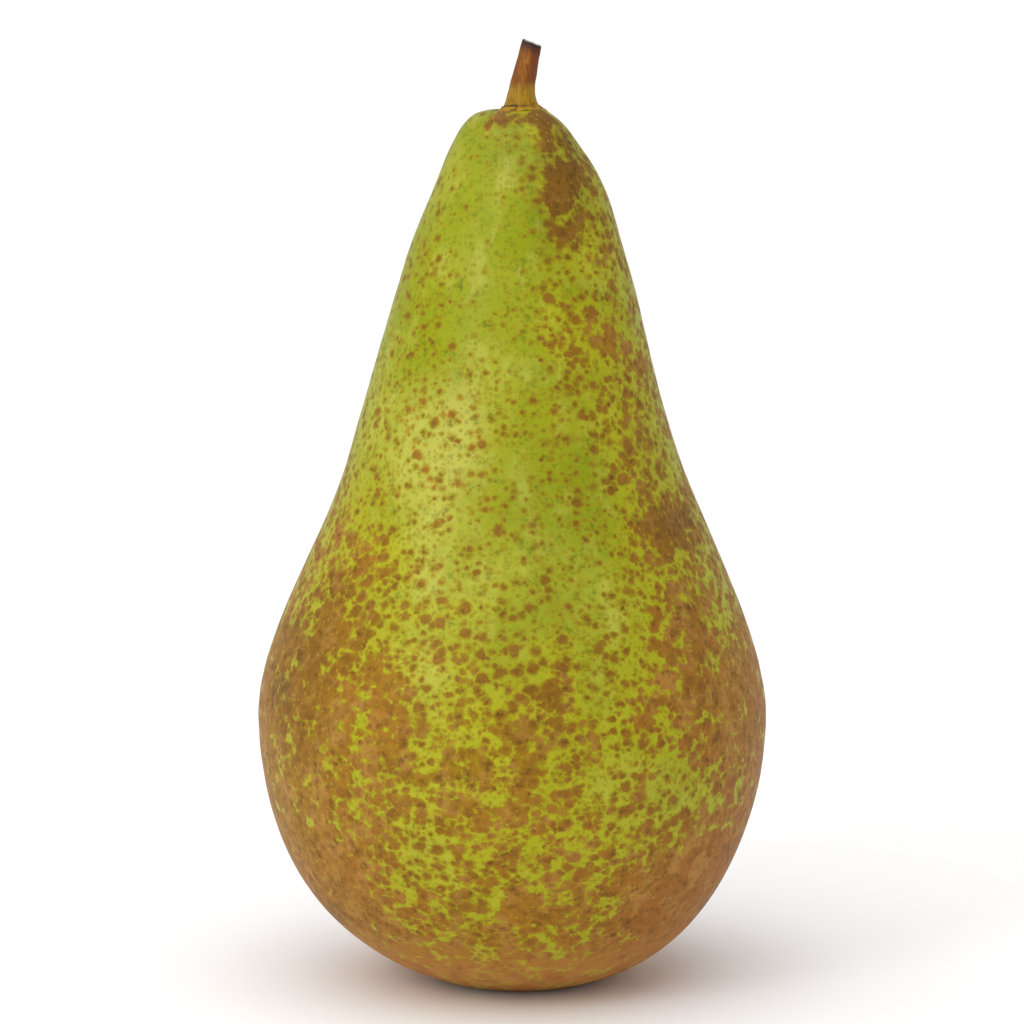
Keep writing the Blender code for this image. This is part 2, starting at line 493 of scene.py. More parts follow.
FRONT_PATCHES = (
    # Under the stalk and down the right of the neck
    Patch(0.2, 47.0, 2.0, 1.0, 0.57, -4),
    Patch(3.4, 47.5, 2.0, 1.4, 0.40, -35),
    Patch(3.1, 45.6, 1.6, 2.6, 0.62, 12),
    Patch(6.4, 44.6, 2.6, 2.0, 0.16, -40),
    Patch(7.0, 41.0, 1.8, 3.0, 0.35, 20),
    Patch(5.2, 38.4, 2.6, 3.0, 0.72),
    Patch(6.0, 34.2, 2.2, 3.0, 0.56, 12),
    Patch(4.0, 41.6, 3.6, 2.6, 0.12),
    Patch(8.8, 38.0, 2.4, 5.0, 0.26, 10),
    Patch(8.6, 31.0, 4.0, 4.0, 0.24),
    Patch(-1.5, 47.2, 0.6, 1.1, 0.85, -12),
    Patch(-2.7, 46.0, 0.5, 1.5, 0.80, -20),
    Patch(4.6, 25.5, 1.0, 2.6, 0.25),
    Patch(7.6, 21.0, 5.6, 4.4, 0.36),
    Patch(13.4, 18.2, 4.0, 4.0, 0.16),
    Patch(8.6, 12.5, 6.4, 4.6, 0.15),
    Patch(3.4, 8.0, 4.0, 5.0, 0.10),
    Patch(14.0, 3.4, 3.4, 5.0, 0.14),
    Patch(13.6, 9.9, 3.6, 6.0, 0.15),
    Patch(-10.2, 28.5, 3.2, 5.0, 0.12),
    # The scuffed patch and the band below it on the right
    Patch(17.8, -1.4, 4.6, 3.8, 0.34, 25),
    Patch(19.4, -13.0, 3.6, 5.5, 0.22, 12),
    Patch(24.4, -10.5, 2.8, 6.0, -0.16, 12),
    Patch(20.0, -20.5, 4.0, 3.6, 0.14),
    Patch(14.0, -6.0, 3.2, 6.0, 0.10),
    Patch(4.6, -16.0, 3.2, 2.4, 0.14),
    # The left cheek
    Patch(-19.5, -6.0, 4.5, 6.0, 0.06),
    Patch(-19.7, 3.0, 3.0, 5.0, 0.07),
    Patch(-7.6, -3.0, 4.0, 3.0, 0.08),
    Patch(-15.0, -6.0, 4.2, 3.4, 0.26, 20),
    Patch(-20.3, -18.0, 5.0, 6.5, 0.16),
    Patch(-14.4, -21.8, 3.1, 5.6, 0.26),
    Patch(-19.6, -14.0, 4.4, 4.4, 0.08),
    Patch(-8.8, -11.4, 7.0, 1.2, 0.28, 4),
    Patch(-7.6, -16.2, 4.6, 3.6, 0.08),
    # The middle of the belly
    Patch(5.4, -21.6, 2.4, 4.0, 0.31),
    Patch(4.6, -31.0, 3.0, 3.6, -0.10),
    Patch(-7.6, -33.0, 4.0, 2.6, 0.08),
    Patch(9.8, -20.6, 2.6, 4.0, -0.16),
    Patch(-10.2, -22.4, 3.4, 5.0, -0.12),
    Patch(16.6, -28.4, 5.4, 3.4, -0.10),
    Patch(-10.2, -36.8, 3.6, 3.6, -0.12),
    Patch(6.6, -37.4, 4.6, 3.0, 0.14),
    Patch(0.2, -46.2, 3.4, 2.4, 0.24),
    Patch(0.6, -23.5, 3.4, 3.0, 0.16),
    Patch(10.2, -27.5, 5.0, 5.6, -0.16),
    Patch(14.5, -33.4, 6.4, 4.8, -0.16),
    Patch(19.4, -32.6, 4.0, 4.6, -0.18),
    Patch(23.4, -32.4, 4.6, 5.0, -0.16),
    Patch(-1.5, -33.7, 4.6, 3.4, 0.12),
    Patch(-9.8, -41.0, 4.0, 3.8, -0.18),
    Patch(-4.6, -46.0, 3.4, 2.6, -0.16),
    Patch(-0.6, -41.6, 3.4, 3.0, -0.12),
    Patch(15.5, -42.5, 6.0, 3.4, 0.12),
    Patch(21.8, -46.8, 7.5, 6.8, 0.26, 30),
    # The clear stretch down the lit side of the neck
    Patch(-4.0, 34.0, 6.0, 13.0, -0.10),
)

BRUISES = (
    Patch(-27.4, -21.2, 1.5, 2.2, 0.75),
    Patch(-26.6, -13.6, 3.2, 1.0, 0.35, 12),
    Patch(-20.9, -48.4, 2.0, 1.3, 0.60, -40),
    Patch(-14.0, -29.6, 2.4, 1.8, 0.22),
    Patch(19.4, -1.2, 2.6, 1.8, 0.55, 25),
    Patch(21.6, -4.2, 2.0, 0.8, 0.40, 10),
    Patch(4.6, -4.4, 1.4, 0.6, 0.35),
    Patch(-9.4, -15.3, 1.0, 0.8, 0.40),
    Patch(6.0, 38.0, 3.6, 7.0, 0.50),
    Patch(9.0, 40.0, 3.0, 8.0, 0.30, 12),
    Patch(6.4, 45.6, 4.0, 2.2, 0.45, -40),
)

# Partly painted highlight: the green is painted yellower and paler where these patches lie, mostly on the lit left
# side under the key light; the skin there is also yellower of itself.
YELLOW_AND_HIGHLIGHT_PATCHES = (
    Patch(-9.2, 8.0, 6.0, 9.0, 0.46, -12),
    Patch(-10.0, -6.0, 2.2, 6.0, 0.30),
    Patch(-11.0, -18.0, 4.0, 3.0, 0.30),
    Patch(-14.0, -36.0, 9.0, 8.0, 0.20),
    Patch(14.0, -33.0, 7.0, 5.0, 0.18),
)

# Painted shade: green and russet are painted darker where these patches lie, down the middle of the neck and belly
# away from the key light, and on a few smaller stretches.
PAINTED_SHADE_PATCHES = (
    Patch(5.4, 38.0, 4.2, 8.0, 0.66),
    Patch(1.0, 44.0, 8.0, 5.0, 0.55),
    Patch(1.6, 47.4, 5.0, 2.0, 0.40),
    Patch(4.5, 24.0, 5.0, 14.0, 0.14),
    Patch(5.0, 1.0, 7.0, 12.0, 0.42),
    Patch(4.0, -18.0, 8.0, 10.0, 0.54),
    Patch(-20.5, -13.0, 6.0, 7.0, 0.35),
    Patch(-25.5, -21.0, 4.5, 9.0, 0.50),
    Patch(18.4, -0.8, 5.0, 5.2, 0.55),
    Patch(15.6, 7.5, 3.0, 4.0, 0.35),
    Patch(21.0, -16.0, 3.0, 9.0, 0.25, 8),
)


@dataclass(frozen=True)
class RussetMap:
    """How much of the skin is russet, from 0 to 1, at any place on the fruit."""

    middle_height: float = 57.4
    view_rise: float = 8.0
    heights: tuple = (4, 14, 22, 30, 37, 44, 50, 64, 74, 106)
    middle: tuple = (0.80, 0.76, 0.64, 0.70, 0.64, 0.37, 0.20, 0.17, 0.15, 0.17)
    left: tuple = (0.96, 0.97, 0.95, 0.92, 0.90, 0.84, 0.68, 0.34, 0.20, 0.12)
    right: tuple = (0.98, 0.96, 0.90, 0.88, 0.90, 0.82, 0.72, 0.52, 0.42, 0.34)
    side_start: Step = Step(0.42, 0.95)
    side_turn: Step = Step(-0.5, 0.5)
    back_start: Step = Step(0.25, -0.35)
    back: float = 0.06
    back_mottle: Lumps = Lumps(0.045, 7.0, 0.16)
    mottle: Lumps = Lumps(0.12, 2.0, 0.05)
    facing: Step = Step(-0.05, 0.3)
    yellow_least: float = 0.04
    yellow_mottle: Lumps = Lumps(0.06, 9.0, 0.10)
    ruddy_least: float = 0.22
    ruddy_right: Step = Step(-5, 30, 0.55)
    ruddy_below: Step = Step(70, 40)
    ruddy_low: Step = Step(34, 6, 0.30)

    def at(self, points: np.ndarray) -> np.ndarray:
        """The share of russet at each point.

        Args:
            points: Points on the skin, in millimetres.

        Returns:
            The share at each point.
        """
        x, y, z = points.T
        reach = np.maximum(np.hypot(x, y), NOWHERE)
        aside, ahead = x / reach, -y / reach
        middle, left, right = (np.interp(z, self.heights, share) for share in (self.middle, self.left, self.right))
        away = climb(ahead, self.back_start)
        side = left + (right - left) * climb(aside, self.side_turn)
        cover = middle + (side - middle) * np.maximum(climb(np.abs(aside), self.side_start), away)
        cover += away * (self.back + noise_at(points, self.back_mottle)) + noise_at(points, self.mottle)
        return np.clip(cover + self.seen(points, FRONT_PATCHES), 0.0, 1.0)

    def seen(self, points: np.ndarray, patches: tuple) -> np.ndarray:
        """What patches add at each point of the photographed side, and 0 behind it.

        Args:
            points: Points on the skin, in millimetres.
            patches: The patches.

        Returns:
            The sum of their strengths.
        """
        x, y, z = points.T
        rise = math.radians(self.view_rise)
        up = (z - self.middle_height) * math.cos(rise) + y * math.sin(rise)
        facing = climb(-y / np.maximum(np.hypot(x, y), NOWHERE), self.facing)
        return facing * sum(patch.strength(x, up) for patch in patches)

    def bruises(self, points: np.ndarray) -> np.ndarray:
        """How dark the skin's marks are at each point, from 0 to 1."""
        return np.clip(self.seen(points, BRUISES), 0.0, 1.0)

    def yellow_and_highlight_at(self, points: np.ndarray) -> np.ndarray:
        """How far the green has turned yellow at each point, from 0 to 1, partly its own yellowing and partly a
        painted highlight.
        """
        uneven = self.yellow_least + noise_at(points, self.yellow_mottle)
        return np.clip(uneven + self.seen(points, YELLOW_AND_HIGHLIGHT_PATCHES), 0.0, 1.0)

    def painted_shade_at(self, points: np.ndarray) -> np.ndarray:
        """How far green and russet are painted darker as shade at each point, from 0 to 1."""
        return np.clip(self.seen(points, PAINTED_SHADE_PATCHES), 0.0, 1.0)

    def ruddiness(self, points: np.ndarray) -> np.ndarray:
        """How red the russet is at each point, from 0 to 1: redder to the right and towards the foot."""
        x, _, z = points.T
        to_right = climb(x, self.ruddy_right) * climb(z, self.ruddy_below)
        return np.clip(self.ruddy_least + to_right + climb(z, self.ruddy_low), 0.0, 1.0)


@dataclass(frozen=True)
class DotLayer:
    """One size of russet dots, in millimetres: how far apart, how high, how wide and how different they are."""

    cell: float
    top: float
    reach: float
    scatter: float


class SkinPoint(NamedTuple):
    """What the skin's colours are mixed by at each point.

    These are its place, the values that the vertices hold there, how far the russet stands above its level, the dots'
    own height, a broad, a middling and a fine noise, and how far inside a pore the point is.
    """

    place: Feed
    cover: Feed
    # How far painted shade darkens the skin.
    painted_shade: Feed
    # Yellowing, partly a painted highlight.
    yellow_and_highlight: Feed
    # How far the underside is painted paler: partly its own paler skin, partly painted light against the floor's
    # contact shade.
    foot: Feed
    stands: Feed
    dots: Feed
    tone: Feed
    cloud: Feed
    mottle: Feed
    pore: Feed


@dataclass(frozen=True)
class RussetField:
    """How high the russet stands: dots that are drawn together into clumps where it covers much of the skin."""

    layers: tuple = (
        DotLayer(cell=1.60, top=1.00, reach=1.10, scatter=0.42),
        DotLayer(cell=0.92, top=0.86, reach=0.85, scatter=0.42),
    )
    covers: tuple = (0.0, 0.09, 0.18, 0.73, 0.91, 1.0)
    levels: tuple = (0.78, 0.48, 0.39, 0.06, -0.13, -0.50)
    upright: float = 0.87
    bending: Waves = Waves(0.95)
    bend: float = 0.34
    merging: float = 0.42
    mean_dot: float = 0.19
    clumps: Waves = Waves(0.40, 5.0, 0.66)
    clump_least: float = 0.3
    clump_growth: float = 2.2
    fraying: Waves = Waves(2.8, 2.0, 0.6)
    fray: float = 0.36

    def level(self, cover: np.ndarray) -> np.ndarray:
        """How high the russet has to stand to show, where it covers this share of the skin."""
        return np.interp(cover, self.covers, self.levels)

    def height(self, wires: Wiring, place: Feed, cover: Feed) -> tuple[bpy.types.NodeSocket, bpy.types.NodeSocket]:
        """How high the russet stands at each point.

        Args:
            wires: The material's nodes.
            place: The point on the skin, in millimetres.
            cover: The share of russet there.

        Returns:
            The height, which shows where it passes the level, and the dots' own height in it.
        """
        place = wires.mapped(place, scale=(self.upright, self.upright, 1.0))
        bent = wires.bent(place, self.bending, self.bend)
        dots = None
        for layer in self.layers:
            distance, draw = wires.cells(bent, layer.cell)
            top = wires.scaled(draw, -layer.scatter, layer.top)
            height = wires.calc("SUBTRACT", top, wires.calc("DIVIDE", distance, layer.reach))
            dots = height if dots is None else wires.calc("MAXIMUM", dots, height)
        pull = wires.scaled(cover, self.clump_growth, self.clump_least)
        apart = wires.scaled(cover, -self.merging, 1.0)
        even = wires.scaled(wires.calc("SUBTRACT", dots, self.mean_dot), apart, self.mean_dot)
        field = wires.scaled(wires.noise(place, self.clumps), pull, even)
        return wires.scaled(wires.noise(place, self.fraying), self.fray, field), dots


@dataclass(frozen=True)
class BareSkin:
    """The colours of the green skin between the russet."""

    lit: Colour = (158, 160, 40)
    full: Colour = (137, 146, 6)
    toning: Step = Step(-0.16, 0.16)
    # Dark green, for random mottling and for painted shade.
    shaded: Colour = (108, 123, 0)
    shading: Step = Step(-0.02, 0.20, 0.7)
    painted_shade_share: float = 0.7
    smear: Colour = (132, 112, 8)
    smears: Waves = Waves(0.26, 6.0, 0.72)
    smearing: Step = Step(0.04, 0.24, 0.5)
    # Pale whitish green: random pale streaks, and a painted highlight where the skin is yellowed.
    pale_and_highlight: Colour = (195, 190, 92)
    veil: Waves = Waves(0.30, 4.0, 0.6)
    veil_stretch: float = 0.45
    paling: Step = Step(0.0, -0.18, 0.30)
    warm: Colour = (170, 165, 26)
    warming: Step = Step(0.12, 0.62)
    warm_share: float = 0.60
    halo: Step = Step(-0.34, -0.04, 0.30)
    pore: Colour = (122, 108, 8)
    pores: Step = Step(-0.10, 0.06, 0.4)
    # Painted light: the underside is painted paler, partly its own paler skin and partly light that lifts it out of
    # the floor's contact shade.
    foot: Colour = (190, 160, 58)
    underside_light_share: float = 0.7

    def colour(self, wires: Wiring, at: SkinPoint) -> bpy.types.NodeSocket:
        """The bare skin's colour.

        Args:
            wires: The material's nodes.
            at: What the colour is mixed by.

        Returns:
            The colour at each point.
        """
        green = wires.mix(wires.share(at.tone, self.toning), self.lit, self.full)
        # Painted shade: the skin is painted darker on top of the random mottling.
        shaded = wires.calc("ADD", wires.share(at.mottle, self.shading), wires.times(at.painted_shade, self.painted_shade_share))
        green = wires.mix(shaded, green, self.shaded)
        green = wires.mix(wires.share(wires.noise(at.place, self.smears), self.smearing), green, self.smear)
        veil = wires.noise(wires.mapped(at.place, scale=(1.0, 1.0, self.veil_stretch)), self.veil)
        # Partly painted highlight: the yellowed stretches turn pale.
        green = wires.mix(wires.calc("ADD", wires.share(veil, self.paling), at.yellow_and_highlight), green, self.pale_and_highlight)
        halo = wires.share(at.stands, self.halo)
        green = wires.mix(wires.scaled(wires.share(at.cover, self.warming), self.warm_share, halo), green, self.warm)
        green = wires.mix(wires.share(at.pore, self.pores), green, self.pore)
        return wires.mix(wires.times(at.foot, self.underside_light_share), green, self.foot)


@dataclass(frozen=True)
class Russet:
    """The colours of the russet: olive-brown in small dots, and ruddy, pale and dark in broad patches."""

    rim: Colour = (132, 112, 8)
    dot: Colour = (122, 90, 16)
    filling: Step = Step(0.0, 0.22)
    dot_warm: Colour = (152, 104, 24)
    dot_cloud: Step = Step(-0.08, 0.12)
    orange_least: float = 0.12
    orange_growth: float = 1.6
    patch: Colour = (150, 113, 20)
    patch_warm: Colour = (156, 100, 36)
    tone_share: float = 1.6
    patch_pale: Colour = (177, 131, 64)
    patch_cloud: Step = Step(-0.04, 0.14, 0.6)
    # Dark russet, for random mottling and dot cores, and for painted shade.
    patch_dark: Colour = (107, 71, 18)
    cores: Step = Step(0.15, 0.60, 0.36)
    shadows: Step = Step(-0.06, 0.2)
    shadow_share: float = 0.5
    breadth_cover: float = 0.5
    broadening: Step = Step(0.20, 0.62)
    painted_shade_share: float = 0.75
    fleck: Colour = (190, 160, 58)
    fleck_size: Step = Step(0.02, 0.14, 0.5)
    fleck_breadth: Step = Step(0.40, 0.90)
    # Painted light: the russet on the underside is painted pale tan, partly its own paler skin and partly light
    # against the floor's contact shade.
    foot: Colour = (210, 152, 78)
    underside_light_warm: Colour = (182, 114, 56)
    underside_light_cloud: Step = Step(0.14, -0.10)
    underside_light_mottle: float = 0.7
    underside_light_share: float = 0.72

    def colour(self, wires: Wiring, at: SkinPoint) -> bpy.types.NodeSocket:
        """The russet's colour.

        Args:
            wires: The material's nodes.
            at: What the colour is mixed by.

        Returns:
            The colour at each point.
        """
        brown = wires.mix(wires.share(at.stands, self.filling), self.rim, self.dot)
        orange = wires.scaled(at.yellow_and_highlight, self.orange_growth, self.orange_least)
        brown = wires.mix(wires.times(wires.share(at.cloud, self.dot_cloud), orange), brown, self.dot_warm)
        ruddy = wires.scaled(at.tone, self.tone_share, wires.attribute("ruddy"))
        broad = wires.mix(ruddy, self.patch, self.patch_warm)
        broad = wires.mix(wires.share(at.cloud, self.patch_cloud), broad, self.patch_pale)
        cores = wires.share(at.dots, self.cores)
        shadow = wires.scaled(wires.share(at.mottle, self.shadows), self.shadow_share, cores)
        broad = wires.mix(shadow, broad, self.patch_dark)
        breadth = wires.scaled(at.cover, self.breadth_cover, at.stands)
        brown = wires.mix(wires.share(breadth, self.broadening), brown, broad)
        # Painted shade: the russet is painted darker where the painted shade lies.
        brown = wires.mix(wires.times(at.painted_shade, self.painted_shade_share), brown, self.patch_dark)
        flecks = wires.times(wires.share(at.pore, self.fleck_size), wires.share(breadth, self.fleck_breadth))
        brown = wires.mix(flecks, brown, self.fleck)
        # Painted light on the underside, which is also paler of itself.
        underside_light_tan = wires.mix(wires.share(at.cloud, self.underside_light_cloud), self.underside_light_warm, self.foot)
        underside_light_tan_share = wires.scaled(at.mottle, self.underside_light_mottle, self.underside_light_share)
        return wires.mix(wires.times(at.foot, underside_light_tan_share), brown, underside_light_tan)


@dataclass(frozen=True)
class SkinMarks:
    """The scuffs on the skin, the stalk's own tones on its collar, and the crease round that."""

    scuff: Colour = (62, 42, 22)
    scratches: Waves = Waves(2.6, 2.0, 0.6)
    scratch_turn: float = 35.0
    scratch_stretch: float = 0.16
    tearing: Step = Step(0.02, 0.16)
    torn_share: float = 0.6
    torn_least: float = 0.25
    collar: Colour = (170, 130, 30)
    collar_brown: Colour = (112, 78, 24)
    barking: Step = Step(-0.10, 0.12)
    collar_mottle: float = 1.2
    collar_edge: Step = Step(0.25, 0.75)
    crease: Colour = (66, 42, 16)
    crease_mottle: float = 1.8
    crease_edge: Step = Step(0.10, 0.75, 0.85)

    def over(
        self, wires: Wiring, at: SkinPoint, colour: Feed
    ) -> tuple[bpy.types.NodeSocket, bpy.types.NodeSocket]:
        """Lays the marks over the skin's colour.

        Args:
            wires: The material's nodes.
            at: What the marks are mixed by.
            colour: The colour under them.

        Returns:
            The colour with the marks, and the collar's share at each point.
        """
        turned_place = wires.mapped(at.place, (0, self.scratch_turn, 0), (1.0, 1.0, self.scratch_stretch))
        scratch = wires.share(wires.noise(turned_place, self.scratches), self.tearing)
        torn = wires.scaled(scratch, self.torn_share, self.torn_least)
        colour = wires.mix(wires.times(wires.attribute("bruise"), torn), colour, self.scuff)
        bark = wires.mix(wires.share(at.mottle, self.barking), self.collar, self.collar_brown)
        collar = wires.scaled(at.mottle, self.collar_mottle, wires.attribute("collar"))
        collar = wires.share(collar, self.collar_edge)
        colour = wires.mix(collar, colour, bark)
        crease = wires.scaled(at.mottle, self.crease_mottle, wires.attribute("joint"))
        return wires.mix(wires.share(crease, self.crease_edge), colour, self.crease), collar


@dataclass(frozen=True)
class RussetSkin:
    """The finish of the fruit: waxy green skin under russet that grows from dots into patches."""

    field: RussetField = RussetField()
    green: BareSkin = BareSkin()
    brown: Russet = Russet()
    marks: SkinMarks = SkinMarks()
    edge: float = 0.34
    sharpening: float = 0.20
    painted_shade_softening: float = 0.16
    tone: Waves = Waves(0.07)
    cloud: Waves = Waves(0.33, 3.0, 0.6)
    mottle: Waves = Waves(0.9, 4.0, 0.66)
    pore_bending: Waves = Waves(1.6)
    pore_bend: float = 0.20
    pore_cell: float = 0.60
    pore_size: float = 0.27
    roughness: float = 0.39
    russet_roughness: float = 0.14
    mottle_roughness: float = 0.15
    specular: float = 0.12
    bumps: Waves = Waves(1.8, 3.0, 0.6)
    bump_depth: float = 0.05

    def survey(self, wires: Wiring) -> SkinPoint:
        """Finds what the skin's colours are mixed by.

        Args:
            wires: The material's nodes.

        Returns:
            The values at each point.
        """
        place, cover = wires.place(), wires.attribute("cover")
        height, dots = self.field.height(wires, place, cover)
        distance, draw = wires.cells(wires.bent(place, self.pore_bending, self.pore_bend), self.pore_cell)
        return SkinPoint(
            place=place,
            cover=cover,
            painted_shade=wires.attribute("painted_shade"),
            yellow_and_highlight=wires.attribute("yellow_and_highlight"),
            foot=wires.attribute("foot"),
            stands=wires.calc("SUBTRACT", height, wires.attribute("level")),
            dots=dots,
            tone=wires.noise(place, self.tone),
            cloud=wires.noise(place, self.cloud),
            mottle=wires.noise(place, self.mottle),
            pore=wires.calc("SUBTRACT", wires.times(draw, self.pore_size), distance),
        )

    def material(self) -> bpy.types.Material:
        """The skin's material, which reads from the vertices where and how the skin is russeted and tinted.

        Returns:
            The material.
        """
        wires = Wiring("russeted_skin")
        at = self.survey(wires)
        spread = wires.scaled(at.cover, -self.sharpening, self.edge)
        # Russet edges are softer where painted shade lies.
        spread = wires.scaled(at.painted_shade, self.painted_shade_softening, spread)
        russet = wires.rise(at.stands, wires.times(spread, -1.0), spread)
        colour = wires.mix(russet, self.green.colour(wires, at), self.brown.colour(wires, at))
        colour, collar = self.marks.over(wires, at, colour)
        dry = wires.scaled(wires.calc("MAXIMUM", russet, collar), self.russet_roughness, self.roughness)
        wires.dress(colour, wires.scaled(at.mottle, self.mottle_roughness, dry))
        wires.shader.inputs["Specular IOR Level"].default_value = self.specular
        wires.relief(wires.noise(at.place, self.bumps), self.bump_depth)
        return wires.material


@dataclass(frozen=True)
class StalkBark:
    """The finish of the stalk: olive at its foot, red-brown along its length and nearly black at the cut."""

    foot: Colour = (172, 128, 12)
    foot_green: Colour = (128, 98, 12)
    foot_fibres: Step = Step(-0.2, 0.2)
    wood: Colour = (114, 60, 12)
    wood_fibres: Step = Step(-0.12, 0.16)
    wood_pale: Colour = (154, 98, 16)
    wood_red: Colour = (104, 36, 10)
    wood_toning: Step = Step(-0.16, 0.16)
    foot_end: Step = Step(0.26, 0.44)
    tip: Colour = (62, 36, 18)
    tip_start: Step = Step(0.80, 1.0)
    dark_lines: Step = Step(0.08, 0.3, 0.55)
    rim: Colour = (24, 17, 13)
    rim_start: Step = Step(0.968, 0.99)
    joint: Colour = (72, 46, 18)
    joint_end: Step = Step(0.075, 0.035)
    blotches: Waves = Waves(1.5, 3.0, 0.6)
    blotching: Step = Step(0.1, 0.24, 0.75)
    blotch_end: Step = Step(0.5, 0.2)
    fibres: Waves = Waves(2.4, 4.0, 0.65)
    fibre_lean: float = -12.0
    fibre_stretch: float = 0.14
    broad: Waves = Waves(0.75)
    wavering: Waves = Waves(0.7, 3.0)
    waver: float = 0.16
    roughness: float = 0.55
    fibre_roughness: float = 0.25
    specular: float = 0.25
    relief_depth: float = 0.10

    def material(self) -> bpy.types.Material:
        """The bark's material, which reads how far along the stalk each point is.

        Returns:
            The material.
        """
        wires = Wiring("stalk_bark")
        place, along = wires.place(), wires.attribute("along")
        fibre_place = wires.mapped(place, (0, self.fibre_lean, 0), (1.0, 1.0, self.fibre_stretch))
        fibres = wires.noise(fibre_place, self.fibres)
        wavering = wires.scaled(wires.noise(place, self.wavering), self.waver, along)
        broad = wires.share(wires.noise(fibre_place, self.broad), self.wood_toning)
        wood = wires.mix(broad, self.wood_red, self.wood_pale)
        wood = wires.mix(wires.share(fibres, self.wood_fibres), self.wood, wood)
        foot = wires.mix(wires.share(fibres, self.foot_fibres), self.foot_green, self.foot)
        colour = wires.mix(wires.share(wavering, self.foot_end), foot, wood)
        colour = wires.mix(wires.share(wavering, self.tip_start), colour, self.tip)
        colour = wires.mix(wires.share(fibres, self.dark_lines), colour, self.tip)
        colour = wires.mix(wires.share(along, self.rim_start), colour, self.rim)
        blotch = wires.share(wires.noise(place, self.blotches), self.blotching)
        colour = wires.mix(wires.times(blotch, wires.share(wavering, self.blotch_end)), colour, self.joint)
        colour = wires.mix(wires.share(wavering, self.joint_end), colour, self.joint)
        wires.dress(colour, wires.scaled(fibres, self.fibre_roughness, self.roughness))
        wires.shader.inputs["Specular IOR Level"].default_value = self.specular
        wires.relief(fibres, self.relief_depth)
        return wires.material


@dataclass(frozen=True)
class CutWood:
    """The finish of the stalk's cut end: dry grey wood within a dark rim."""

    wood: Colour = (186, 176, 164)
    pith: Colour = (120, 102, 84)
    pithing: Step = Step(-0.1, 0.2)
    rim: Colour = (28, 20, 15)
    rim_start: Step = Step(0.78, 0.90)
    rim_grain: float = 0.2
    grain: Waves = Waves(3.0, 4.0, 0.6)
    roughness: float = 0.75
    grain_roughness: float = 0.1
    relief_depth: float = 0.02

    def material(self) -> bpy.types.Material:
        """The cut's material, which reads how far out from the stalk's middle each point is.

        Returns:
            The material.
        """
        wires = Wiring("cut_wood")
        grain = wires.noise(wires.place(), self.grain)
        colour = wires.mix(wires.share(grain, self.pithing), self.wood, self.pith)
        outwards = wires.scaled(grain, self.rim_grain, wires.attribute("outwards"))
        colour = wires.mix(wires.share(outwards, self.rim_start), colour, self.rim)
        wires.dress(colour, wires.scaled(grain, self.grain_roughness, self.roughness))
        wires.relief(grain, self.relief_depth)
        return wires.material


@dataclass(frozen=True)
class DriedLeaf:
    """The finish of the calyx: dry, dark and downy."""

    dark: Colour = (58, 40, 26)
    brown: Colour = (104, 74, 44)
    veins: Waves = Waves(1.8, 4.0, 0.65)
    veining: Step = Step(-0.15, 0.2)
    down: Colour = (150, 128, 92)
    tufts: Waves = Waves(5.0)
    tufting: Step = Step(0.1, 0.3, 0.5)
    roughness: float = 0.8
    vein_roughness: float = 0.1
    relief_depth: float = 0.15

    def material(self, name: str) -> bpy.types.Material:
        """The dried leaf's material.

        Args:
            name: The material's name.

        Returns:
            The material.
        """
        wires = Wiring(name)
        place = wires.place()
        veins = wires.noise(place, self.veins)
        colour = wires.mix(wires.share(veins, self.veining), self.dark, self.brown)
        colour = wires.mix(wires.share(wires.noise(place, self.tufts), self.tufting), colour, self.down)
        wires.dress(colour, wires.scaled(veins, self.vein_roughness, self.roughness))
        wires.relief(veins, self.relief_depth)
        return wires.material


